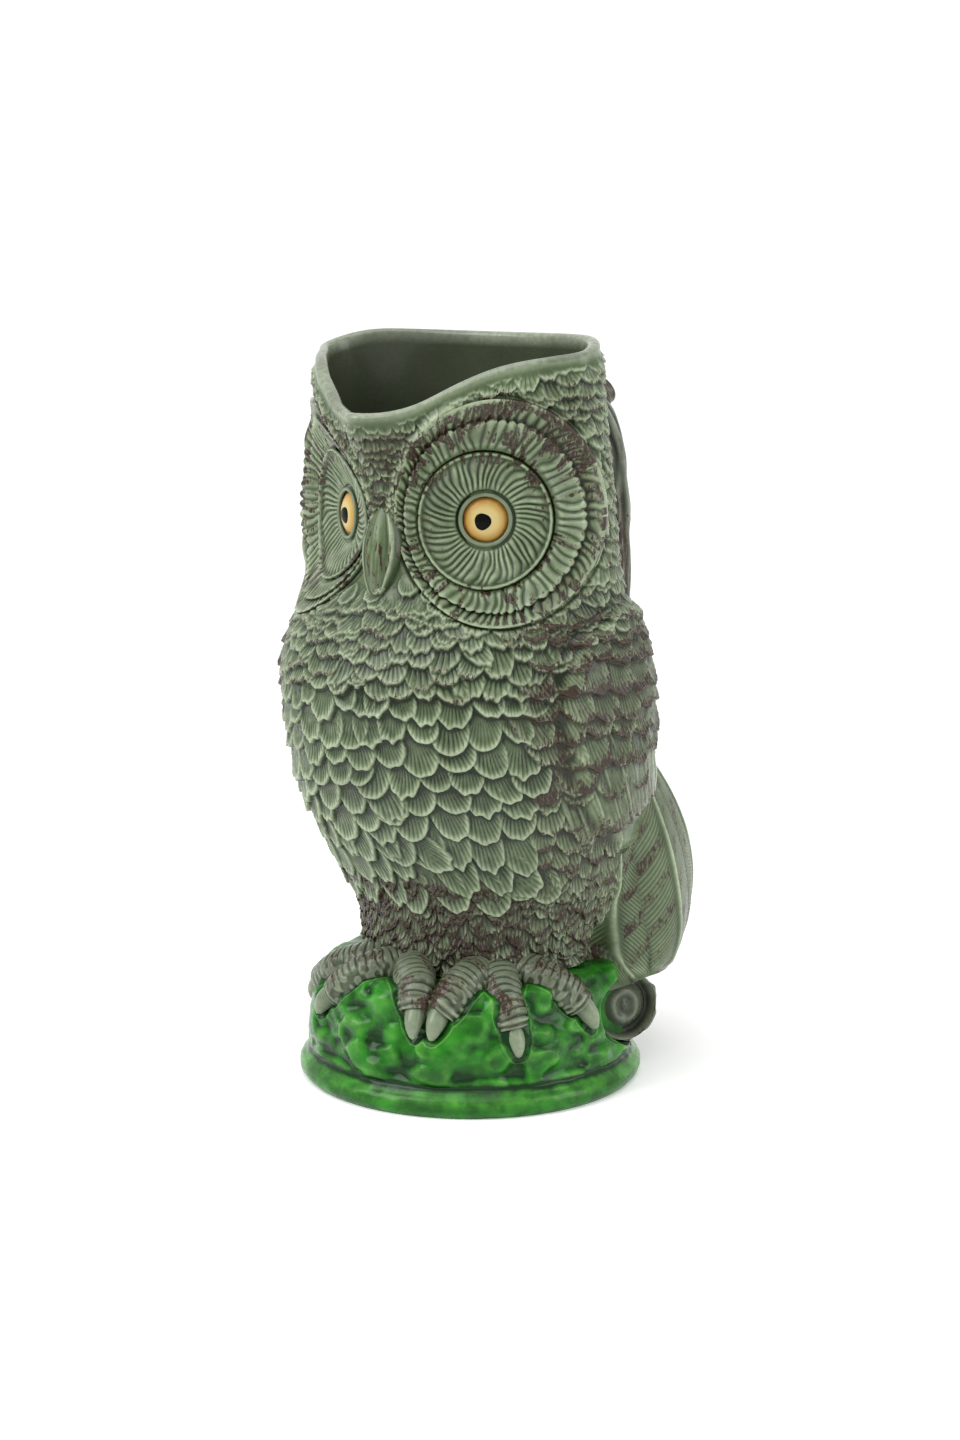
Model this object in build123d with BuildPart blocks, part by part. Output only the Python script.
from build123d import *
import math
import os

os.makedirs("parts", exist_ok=True)

# Owl jug in glazed earthenware. All sizes in millimetres.
# +Z is up, the owl faces -Y, and the owl's own left side is +X.
# The origin is on the ground at the centre of the round plinth.

# ---- overall sizes ----
jug_height = 324.0
plinth_diameter = 152.0
wall_thickness = 5.5
body_width = 158.0
head_width = 152.0
mouth_width = 138.0

# ---- mound and plinth ----
plinth_height = 10.0
groove_depth = 4.0
mound_height = 52.0
mound_wall_draft = 5.0
mound_shoulder = 9.0
waist_diameter = 96.0
waist_setback = 8.0
floor_thickness = 9.5

# ---- lip ----
lip_dip = 33.5
lip_reach = 85.5
lip_tilt = 2.0
ear_drop = 7.0
ear_setback = 12.0
mouth_back = 25.0

# ---- relief thicknesses ----
wing_relief = 4.0
ruff_relief = 4.0
eye_disc_relief = 1.6
crest_relief = 1.8
skirt_relief = 1.8

# ---- face ----
eye_spacing = 78.4
eye_height = 247.5
ruff_diameter = 90.0
eye_disc_diameter = 55.0
eye_ring_diameter = 23.0
eye_diameter = 19.4
pupil_diameter = 7.0
eye_bulge = 3.2
beak_length = 40.0
beak_width = 15.5
beak_thickness = 10.0
beak_top_height = 254.0

# ---- handle ----
handle_width = 24.0
handle_depth = 16.0
handle_reach = 110.0
handle_top = 288.0
handle_bottom = 136.0
knob_diameter = 13.0
knob_length = 9.0

# ---- tail and fallen branch ----
tail_width = 152.0
tail_reach = 105.0
tail_top = 150.0
tail_bottom = 41.0
tail_wall = 6.0
branch_diameter = 33.0
branch_height = 28.0
branch_length = 58.0
branch_scoop_turn = 40.0
branch_scoop_rise = 0.25
branch_seat = 3.0
branch_turn = 62.0

# ---- feet ----
toe_diameter = 17.0
claw_diameter = 10.4
toe_drop = 10.0
claw_length = 10.0


def spaced(curve, count):
    """Points evenly spaced along a fine polyline, without its last point."""
    lengths = [0.0]
    for p, q in zip(curve, curve[1:]):
        lengths.append(lengths[-1] + math.dist(p, q))
    points = []
    j = 0
    for k in range(count):
        want = lengths[-1] * k / count
        while lengths[j + 1] < want:
            j += 1
        f = (want - lengths[j]) / (lengths[j + 1] - lengths[j])
        p = curve[j]
        q = curve[j + 1]
        points.append((p[0] + f * (q[0] - p[0]), p[1] + f * (q[1] - p[1])))
    return points


def ring_points(half_width, front, widest, back, squareness):
    """Points round one horizontal section: its back half, then its front half."""
    steps = 400
    e = 2.0 / squareness
    back_half = []
    front_half = []
    for i in range(steps + 1):
        a = math.pi * i / steps
        s = math.sin(a)
        c = math.cos(a)
        back_half.append((-half_width * c, widest + (back - widest) * s))
        x = half_width * math.copysign(abs(c) ** e, c)
        front_half.append((x, widest - (widest - front) * s**e))
    return spaced(back_half, 12) + spaced(front_half, 18)


waist = waist_diameter / 2
half_body = body_width / 2
half_head = head_width / 2
half_mouth = mouth_width / 2
face_plane = -60.0

# height, half width, front, widest point, back, front squareness
back = waist + waist_setback
stations = [
    (mound_height, waist, waist_setback - waist, waist_setback, back, 2.0),
    (mound_height + 14, waist + 1, waist_setback - waist, waist_setback + 1, back + 5, 2.0),
    (mound_height + 30, half_body - 19, -45.0, 14.0, 76.0, 2.0),
    (mound_height + 50, half_body - 12, -57.5, 8.0, 77.0, 2.0),
    (mound_height + 72, half_body - 6, -71.0, 4.0, 75.0, 2.0),
    (mound_height + 100, half_body - 1.5, -79.5, 0.0, 69.0, 2.0),
    (mound_height + 128, half_body, -82.0, 0.0, 56.0, 2.0),
    (mound_height + 150, half_body - 3, -75.0, -4.0, 47.0, 1.85),
    (mound_height + 166, half_head - 0.5, -66.0, -10.0, 43.0, 1.5),
    (mound_height + 182, half_head, face_plane - 1.5, -15.0, 38.0, 1.2),
    (mound_height + 200, half_head - 0.5, face_plane - 1.5, -17.0, 34.5, 1.1),
    (mound_height + 224, half_head - 3, face_plane - 13, -16.0, mouth_back + 6, 1.1),
    (mound_height + 246, half_mouth + 1, -lip_reach + 0.5, -13.5, mouth_back + 3, 1.2),
    (mound_height + 262, half_mouth + 0.3, -lip_reach, -ear_setback - 0.5, mouth_back + 1, 1.25),
    (jug_height + 6, half_mouth, -lip_reach, -ear_setback, mouth_back, 1.27),
]
neck_height = mound_height + 158


def section(level, grow):
    height, half, front, widest, back, square = level
    points = ring_points(half + grow, front - grow, widest, back + grow, square)
    return Edge.make_spline(
        [Vector(x, y, 0) for x, y in points],
        periodic=True,
        parameters=[i / len(points) for i in range(len(points) + 1)],
    )


def owl_form(grow):
    """The owl's plain outside form, grown outwards by a thickness."""
    with BuildPart(mode=Mode.PRIVATE) as form:
        for level in stations:
            with BuildSketch(Plane.XY.offset(level[0])):
                with BuildLine():
                    add(section(level, grow))
                make_face()
        loft()
    return form.part


core = owl_form(0)
hollow = owl_form(-wall_thickness)

# everything above the lip: it dips to a pouring spout at the front and leans to the owl's left
with BuildPart() as lip_cutter:
    with BuildSketch(Plane.YZ):
        with BuildLine():
            front_low = (-lip_reach - 30, jug_height - lip_dip)
            Polyline(
                (lip_reach + 30, jug_height),
                (lip_reach + 30, jug_height + 40),
                (-lip_reach - 30, jug_height + 40),
                front_low,
                (-lip_reach + 9, jug_height - lip_dip),
            )
            Spline(
                (-lip_reach + 9, jug_height - lip_dip),
                (-59.5, jug_height - 24.5),
                (-44.0, jug_height - 14.0),
                (-ear_setback - 4, jug_height - ear_drop),
                (6.0, jug_height - 0.8),
                (mouth_back - 4, jug_height),
                tangents=((1, 0), (1, 0)),
            )
            Line((mouth_back - 4, jug_height), (lip_reach + 30, jug_height))
        make_face()
    extrude(amount=120, both=True)
with BuildPart() as above_lip:
    add(lip_cutter.part, rotation=(0, lip_tilt, 0))

# ---- torso: waist to neck ----
with BuildPart() as torso_shell:
    add(core)
    add(hollow, mode=Mode.SUBTRACT)
    split(bisect_by=Plane.XY.offset(neck_height), keep=Keep.BOTTOM)
torso_shell.part.label = "torso_shell"
export_step(torso_shell.part, "parts/torso_shell.step")

# ---- head: neck to lip, with the mouth open at the top ----
with BuildPart() as head_shell:
    add(core)
    add(hollow, mode=Mode.SUBTRACT)
    split(bisect_by=Plane.XY.offset(neck_height), keep=Keep.TOP)
    add(above_lip.part, mode=Mode.SUBTRACT)
head_shell.part.label = "head_shell"
export_step(head_shell.part, "parts/head_shell.step")


# ---- fallen branch: its sawn end shows in a notch of the mound ----
turn = math.radians(branch_turn)
branch_plane = Plane(
    origin=(60.5, 36.0, branch_height),
    x_dir=(math.cos(turn), math.sin(turn), 0),
    z_dir=(math.sin(turn), -math.cos(turn), 0),
)
branch_radius = branch_diameter / 2
scoop_turn = math.radians(branch_scoop_turn)
scoop_way = (math.sin(scoop_turn), -math.cos(scoop_turn), branch_scoop_rise)
with BuildPart() as branch_notch:
    with BuildSketch(branch_plane):
        Circle(branch_radius)
    extrude(amount=36, dir=scoop_way)
    split(bisect_by=Plane.XY.offset(plinth_height + 3), keep=Keep.TOP)

with BuildPart() as notch_guard:
    with BuildSketch(branch_plane.offset(-wall_thickness)):
        Circle(branch_radius + wall_thickness)
    extrude(amount=42, dir=scoop_way)

# ---- mound: a steep green hillock on a rolled plinth, hollow inside ----
plinth = plinth_diameter / 2
groove = plinth - groove_depth
mound_top_radius = groove - mound_wall_draft
mound_flat = waist + waist_setback + 1
with BuildPart() as mound_form:
    with BuildSketch(Plane.XZ):
        with BuildLine():
            Polyline(
                (0, mound_height),
                (0, 0),
                (plinth - 3, 0),
            )
            ThreePointArc(
                (plinth - 3, 0),
                (plinth, plinth_height / 2 - 0.5),
                (plinth - 2.5, plinth_height - 1),
            )
            Spline(
                (plinth - 2.5, plinth_height - 1),
                (groove, plinth_height + 2),
                (groove - 0.3, plinth_height + 8),
                (mound_top_radius + 2.2, mound_height - mound_shoulder - 9),
                (mound_top_radius, mound_height - mound_shoulder),
            )
            Bezier(
                (mound_top_radius, mound_height - mound_shoulder),
                (mound_top_radius - 1.4, mound_height - 1.5),
                (mound_flat + 4, mound_height),
                (mound_flat, mound_height),
            )
            Line((mound_flat, mound_height), (0, mound_height))
        make_face()
    revolve(axis=Axis.Z)
    add(branch_notch.part, mode=Mode.SUBTRACT)
    with BuildSketch(branch_plane):
        Circle(branch_radius)
    extrude(amount=-branch_seat, mode=Mode.SUBTRACT)

cavity_radius = mound_top_radius - wall_thickness
cavity_floor = floor_thickness
cavity_roof = mound_height - wall_thickness
with BuildPart() as mound_cavity:
    with BuildSketch(Plane.XZ):
        with BuildLine():
            Polyline(
                (0, cavity_roof),
                (0, cavity_floor),
                (cavity_radius - 8, cavity_floor),
            )
            Spline(
                (cavity_radius - 8, cavity_floor),
                (cavity_radius - 2, cavity_floor + 3),
                (cavity_radius, cavity_floor + 9),
            )
            Bezier(
                (cavity_radius, cavity_floor + 9),
                (cavity_radius, cavity_roof - 1),
                (cavity_radius - 8, cavity_roof),
                (cavity_radius - 16, cavity_roof),
            )
            Line((cavity_radius - 16, cavity_roof), (0, cavity_roof))
        make_face()
    revolve(axis=Axis.Z)
    add(notch_guard.part, mode=Mode.SUBTRACT)

with BuildPart() as mound:
    add(mound_form.part)
    add(mound_cavity.part, mode=Mode.SUBTRACT)
    with BuildSketch(Plane.XY.offset(cavity_roof - 1)):
        with BuildLine():
            add(section(stations[0], -wall_thickness))
        make_face()
    extrude(amount=wall_thickness + 2, mode=Mode.SUBTRACT)
mound.part.label = "mound"
export_step(mound.part, "parts/mound.step")

with BuildPart() as fallen_branch:
    with BuildSketch(branch_plane):
        Circle(branch_radius)
    extrude(amount=-branch_length)
    add(mound_form.part, mode=Mode.SUBTRACT)
fallen_branch.part.label = "fallen_branch"
export_step(fallen_branch.part, "parts/fallen_branch.step")

# ---- tail: a fan of broad feathers standing behind the owl ----
tail_half = tail_width / 2
tail_levels = [
    (tail_bottom, tail_half - 10, 20.0, 52.0, tail_reach - 12),
    (tail_bottom + 20, tail_half - 2, 16.0, 52.0, tail_reach - 3),
    (tail_bottom + 42, tail_half, 12.0, 49.0, tail_reach),
    (tail_bottom + 62, tail_half - 1, 8.0, 44.0, tail_reach - 4),
    (tail_bottom + 85, tail_half - 6, 4.0, 33.0, tail_reach - 14),
    (tail_top, tail_half - 15, 0.0, 20.0, tail_reach - 38),
]


def tail_form(grow):
    """Bell-shaped outside form of the tail, grown outwards by a thickness."""
    with BuildPart(mode=Mode.PRIVATE) as form:
        for height, half, front, widest, back in tail_levels:
            with BuildSketch(Plane.XY.offset(height)):
                with BuildLine():
                    add(section((0, half, front, widest, back, 2.0), grow))
                make_face()
        loft()
    return form.part


tail_outside = tail_form(0)
tail_inside = tail_form(-tail_wall)
fan_centre = (0.0, 30.0)
fan_edges = [-112.0, -52.0, -18.0, 18.0, 52.0, 112.0]
tail_names = [
    "tail_feather_outer_right",
    "tail_feather_inner_right",
    "tail_feather_centre",
    "tail_feather_inner_left",
    "tail_feather_outer_left",
]
for i in range(5):
    a = math.radians(fan_edges[i])
    b = math.radians(fan_edges[i + 1])
    m = (a + b) / 2
    reach = 260.0
    with BuildPart() as tail_feather:
        with BuildSketch(Plane.XY.offset(tail_bottom - 5)):
            with BuildLine():
                Polyline(
                    fan_centre,
                    (fan_centre[0] + reach * math.sin(a), fan_centre[1] + reach * math.cos(a)),
                    (fan_centre[0] + reach * math.sin(m), fan_centre[1] + reach * math.cos(m)),
                    (fan_centre[0] + reach * math.sin(b), fan_centre[1] + reach * math.cos(b)),
                    close=True,
                )
            make_face()
        extrude(amount=tail_top - tail_bottom + 10)
        add(tail_outside, mode=Mode.INTERSECT)
        add(tail_inside, mode=Mode.SUBTRACT)
        add(core, mode=Mode.SUBTRACT)
        add(mound_form.part, mode=Mode.SUBTRACT)
        add(fallen_branch.part, mode=Mode.SUBTRACT)
    tail_feather.part.label = tail_names[i]
    export_step(tail_feather.part, "parts/" + tail_names[i] + ".step")

# ---- handle: a bare branch from the back of the head to above the tail ----
with BuildPart() as handle:
    with BuildLine() as handle_path:
        Spline(
            (0, mouth_back - 4, handle_top - 8),
            (0, handle_reach - 38, handle_top + 8),
            (0, handle_reach - 8, handle_top - 10),
            (0, handle_reach, handle_top - 56),
            (0, handle_reach - 1, handle_bottom + 42),
            (0, handle_reach - 9, handle_bottom + 8),
            (0, tail_reach - 33, handle_bottom - 22),
        )
    with BuildSketch(Plane(origin=handle_path.line @ 0, z_dir=handle_path.line % 0)):
        Ellipse(handle_depth / 2, handle_width / 2)
    sweep()
    add(core, mode=Mode.SUBTRACT)
    add(tail_outside, mode=Mode.SUBTRACT)
handle.part.label = "handle"
export_step(handle.part, "parts/handle.step")

knob_seats = [
    ("handle_knob_upper", (0, handle_reach - 18, handle_top + 2), (0, 0.62, 1)),
    ("handle_knob_lower", (0, handle_reach - 3, handle_bottom + 20), (0, 1, -0.45)),
]
for name, seat, way in knob_seats:
    with BuildPart() as knob:
        with BuildSketch(Plane(origin=seat, x_dir=(1, 0, 0), z_dir=way)):
            Circle(knob_diameter / 2)
        extrude(amount=handle_depth / 2 + knob_length, taper=4)
        fillet(knob.faces().sort_by(Axis(seat, way))[-1].edges(), 2.5)
        add(handle.part, mode=Mode.SUBTRACT)
    knob.part.label = name
    export_step(knob.part, "parts/" + name + ".step")

# ---- feet: three scaly toes each, draped over the edge of the mound ----
# radius from the axis, height, then the thickness of the toe there
toe_run = [
    (39.0, mound_height + 1.5, toe_diameter / 2 + 0.2),
    (50.0, mound_height + 1.0, toe_diameter / 2),
    (57.5, mound_height - 2.0, toe_diameter / 2 - 0.2),
    (62.0, mound_height - 6.5, toe_diameter / 2 - 0.8),
    (63.8, mound_height - toe_drop, toe_diameter / 2 - 1.9),
]
# turns from straight ahead along the toe, the claw tip's turn, then how much lower the toe hangs
toe_turns = {
    "toe_left_middle": (50.5, 50.0, 49.5, 50.5, 51.3, 52.2, 7.5),
    "toe_left_inner": (43.0, 35.4, 30.0, 26.5, 24.0, 22.0, 0.0),
    "toe_left_outer": (62.0, 69.0, 74.0, 79.0, 82.0, 84.5, 1.5),
    "toe_right_middle": (-10.0, -15.5, -20.5, -25.0, -29.5, -34.0, 1.0),
    "toe_right_inner": (0.0, 7.0, 12.5, 14.3, 15.0, 15.7, 0.0),
    "toe_right_outer": (-22.0, -31.0, -40.0, -48.0, -54.0, -59.0, 3.0),
}


def around(radius, turn_degrees, height):
    t = math.radians(turn_degrees)
    return Vector(radius * math.sin(t), -radius * math.cos(t), height)


toes = {}
for name, turns in toe_turns.items():
    drop = turns[6]
    centres = [
        around(toe_run[k][0], turns[k], toe_run[k][1] - drop * k / 4) for k in range(5)
    ]
    with BuildPart() as toe:
        for k in range(5):
            before = centres[max(k - 1, 0)]
            after = centres[min(k + 1, 4)]
            with BuildSketch(Plane(origin=centres[k], z_dir=after - before)):
                Circle(toe_run[k][2])
        loft()
        fillet(toe.faces().sort_by(Axis.Z)[0].edges(), 2.0)
        add(core, mode=Mode.SUBTRACT)
        add(mound_form.part, mode=Mode.SUBTRACT)
        if name.endswith("inner") or name.endswith("outer"):
            add(toes[name.rsplit("_", 1)[0] + "_middle"], mode=Mode.SUBTRACT)
    toes[name] = toe.part
    toe.part.label = name
    export_step(toe.part, "parts/" + name + ".step")

    knuckle = around(64.6, turns[4], mound_height - toe_drop + 0.5 - drop)
    middle = around(68.6, turns[4] * 0.55 + turns[5] * 0.45, knuckle.Z - claw_length * 0.45)
    tip = around(70.8, turns[5], knuckle.Z - claw_length)
    claw = name.replace("toe", "claw")
    with BuildPart() as nail:
        with BuildSketch(Plane(origin=knuckle, z_dir=middle - knuckle)):
            Circle(claw_diameter / 2)
        with BuildSketch(Plane(origin=middle, z_dir=tip - knuckle)):
            Circle(claw_diameter / 2 * 0.78)
        with BuildSketch(Plane(origin=tip, z_dir=tip - middle)):
            Circle(0.8)
        loft()
        add(toe.part, mode=Mode.SUBTRACT)
        add(mound_form.part, mode=Mode.SUBTRACT)
    nail.part.label = claw
    export_step(nail.part, "parts/" + claw + ".step")

# ---- ragged skirt of feathers round the bottom of the belly ----
with BuildPart() as belly_skirt:
    add(owl_form(skirt_relief))
    add(core, mode=Mode.SUBTRACT)
    split(bisect_by=Plane.XY.offset(mound_height + 16), keep=Keep.BOTTOM)
    split(bisect_by=Plane.XY.offset(mound_height + 6), keep=Keep.TOP)
    split(bisect_by=Plane.XZ.offset(-6), keep=Keep.TOP)
    add(tail_outside, mode=Mode.SUBTRACT)
    for toe_part in toes.values():
        add(toe_part, mode=Mode.SUBTRACT)
belly_skirt.part.label = "belly_skirt"
export_step(belly_skirt.part, "parts/belly_skirt.step")

# ---- face: two ruffs, the discs inside them, and the eyes ----
face_turn = math.radians(31.0)
eye_centre = (eye_spacing / 2, face_plane + 18.5, eye_height)
face = Plane(
    origin=eye_centre,
    x_dir=(math.cos(face_turn), math.sin(face_turn), 0),
    z_dir=(math.sin(face_turn), -math.cos(face_turn), 0),
)
ruff_form = owl_form(ruff_relief)
disc_form = owl_form(eye_disc_relief)
ruff_shift = (4.0, 3.5)

with BuildPart() as ruff_outline:
    with BuildSketch(face):
        with Locations(ruff_shift):
            Ellipse(ruff_diameter / 2 - 1, ruff_diameter / 2 + 1)
    extrude(amount=30, both=True)

with BuildPart() as ruff_left:
    add(ruff_outline.part)
    with BuildSketch(face):
        Circle(eye_disc_diameter / 2)
    extrude(amount=32, both=True, mode=Mode.SUBTRACT)
    add(ruff_form, mode=Mode.INTERSECT)
    add(core, mode=Mode.SUBTRACT)
    add(above_lip.part, mode=Mode.SUBTRACT)
    split(bisect_by=Plane.YZ.offset(1.2), keep=Keep.TOP)

with BuildPart() as eye_disc_left:
    with BuildSketch(face):
        Circle(eye_disc_diameter / 2)
        Circle(eye_ring_diameter / 2, mode=Mode.SUBTRACT)
    extrude(amount=28, both=True)
    add(disc_form, mode=Mode.INTERSECT)
    add(core, mode=Mode.SUBTRACT)

with BuildPart() as eye_ring_left:
    with BuildSketch(face):
        Circle(eye_ring_diameter / 2)
        Circle(eye_diameter / 2, mode=Mode.SUBTRACT)
    extrude(amount=20, both=True)
    add(ruff_form, mode=Mode.INTERSECT)
    add(core, mode=Mode.SUBTRACT)

eye_round = eye_diameter * 0.75
with BuildPart() as eye_ball:
    with BuildSketch(face):
        Circle(eye_diameter / 2)
    extrude(amount=20, both=True)
    with Locations(face.offset(eye_bulge - eye_round)):
        Sphere(eye_round, mode=Mode.INTERSECT)
    add(core, mode=Mode.SUBTRACT)

with BuildPart() as pupil_left:
    with BuildSketch(face):
        with Locations((-1.0, -0.6)):
            Circle(pupil_diameter / 2)
    extrude(amount=20, both=True)
    add(eye_ball.part, mode=Mode.INTERSECT)

with BuildPart() as eye_left:
    add(eye_ball.part)
    add(pupil_left.part, mode=Mode.SUBTRACT)

# ---- beak: a long leaf between the discs ----
with BuildPart() as beak:
    with BuildSketch(Plane.XZ.offset(40)):
        with BuildLine():
            top = (0, beak_top_height)
            low = (0, beak_top_height - beak_length)
            wide = (beak_width / 2, beak_top_height - beak_length * 0.55)
            Spline(top, wide, low, tangents=((0.9, -1), (-0.9, -1)))
            Spline(low, (-wide[0], wide[1]), top, tangents=((-0.9, 1), (0.9, 1)))
        make_face()
    extrude(amount=60)
    with BuildSketch(Plane.YZ):
        with BuildLine():
            Polyline(
                (face_plane - 4, beak_top_height + 1),
                (face_plane + 20, beak_top_height + 1),
                (face_plane + 20, beak_top_height - beak_length - 1),
                (face_plane - 5, beak_top_height - beak_length - 1),
            )
            Spline(
                (face_plane - 5, beak_top_height - beak_length - 1),
                (face_plane - beak_thickness, beak_top_height - beak_length * 0.55),
                (face_plane - 4, beak_top_height + 1),
            )
        make_face()
    extrude(amount=20, both=True, mode=Mode.INTERSECT)
    add(core, mode=Mode.SUBTRACT)
    add(ruff_left.part, mode=Mode.SUBTRACT)
    add(mirror(ruff_left.part, about=Plane.YZ), mode=Mode.SUBTRACT)
    add(eye_disc_left.part, mode=Mode.SUBTRACT)
    add(mirror(eye_disc_left.part, about=Plane.YZ), mode=Mode.SUBTRACT)
beak.part.label = "beak"
export_step(beak.part, "parts/beak.step")

# ---- brow crest: the feathered V between the discs and the lip ----
with BuildPart() as brow_crest:
    with BuildSketch(Plane.XZ.offset(10)):
        with BuildLine():
            Polyline(
                (0, beak_top_height - 2),
                (9, beak_top_height + 10),
                (20, jug_height - 46),
                (44, jug_height - 28),
                (50, jug_height - 16),
                (30, jug_height - 26),
                (0, jug_height - lip_dip - 2),
                (-30, jug_height - 26),
                (-50, jug_height - 16),
                (-44, jug_height - 28),
                (-20, jug_height - 46),
                (-9, beak_top_height + 10),
                close=True,
            )
        make_face()
    extrude(amount=90)
    add(owl_form(crest_relief), mode=Mode.INTERSECT)
    add(core, mode=Mode.SUBTRACT)
    with Locations((0, 0, -2)):
        add(above_lip.part, mode=Mode.SUBTRACT)
    add(ruff_outline.part, mode=Mode.SUBTRACT)
    add(mirror(ruff_outline.part, about=Plane.YZ), mode=Mode.SUBTRACT)
    add(beak.part, mode=Mode.SUBTRACT)
brow_crest.part.label = "brow_crest"
export_step(brow_crest.part, "parts/brow_crest.step")

# ---- folded wings: short coverts above, long flight feathers below ----
shoulder = (-4.0, mound_height + 160)
wing_front = (-38.0, mound_height + 126)
wing_low_front = (12.0, mound_height + 54)
wing_tip = (52.0, mound_height + 66)
wing_back = (40.0, mound_height + 138)
covert_front = (-31.0, mound_height + 98)
covert_middle = (10.0, mound_height + 90)
covert_back = (47.0, mound_height + 114)

with BuildPart() as wing_coverts_left:
    with BuildSketch(Plane.YZ.offset(15)):
        with BuildLine():
            Spline(covert_front, wing_front, shoulder, tangents=((-0.3, 1), (1, 0.4)))
            Spline(shoulder, wing_back, tangents=((1, 0), (0.1, -1)))
            Spline(wing_back, covert_back, tangents=((0, -1), (0, -1)))
            Spline(covert_back, covert_middle, covert_front)
        make_face()
    extrude(amount=100)
    add(owl_form(wing_relief + 0.6), mode=Mode.INTERSECT)
    add(core, mode=Mode.SUBTRACT)

with BuildPart() as wing_quills_left:
    with BuildSketch(Plane.YZ.offset(15)):
        with BuildLine():
            Spline(covert_front, covert_middle, covert_back)
            Line(covert_back, wing_tip)
            Spline(wing_tip, wing_low_front, tangents=((-1, -0.7), (-1, 0.3)))
            Spline(wing_low_front, covert_front, tangents=((-1, 0.8), (-0.2, 1)))
        make_face()
    extrude(amount=100)
    add(owl_form(wing_relief), mode=Mode.INTERSECT)
    add(core, mode=Mode.SUBTRACT)
    add(tail_outside, mode=Mode.SUBTRACT)

# ---- left pieces, and their mirror images on the owl's right ----
paired = {
    "ruff": ruff_left,
    "eye_disc": eye_disc_left,
    "eye_ring": eye_ring_left,
    "eye": eye_left,
    "pupil": pupil_left,
    "wing_coverts": wing_coverts_left,
    "wing_quills": wing_quills_left,
}
for name, piece in paired.items():
    with BuildPart() as left_piece:
        add(piece.part)
    left_piece.part.label = name + "_left"
    export_step(left_piece.part, "parts/" + name + "_left.step")
    with BuildPart() as right_piece:
        add(mirror(piece.part, about=Plane.YZ))
    right_piece.part.label = name + "_right"
    export_step(right_piece.part, "parts/" + name + "_right.step")
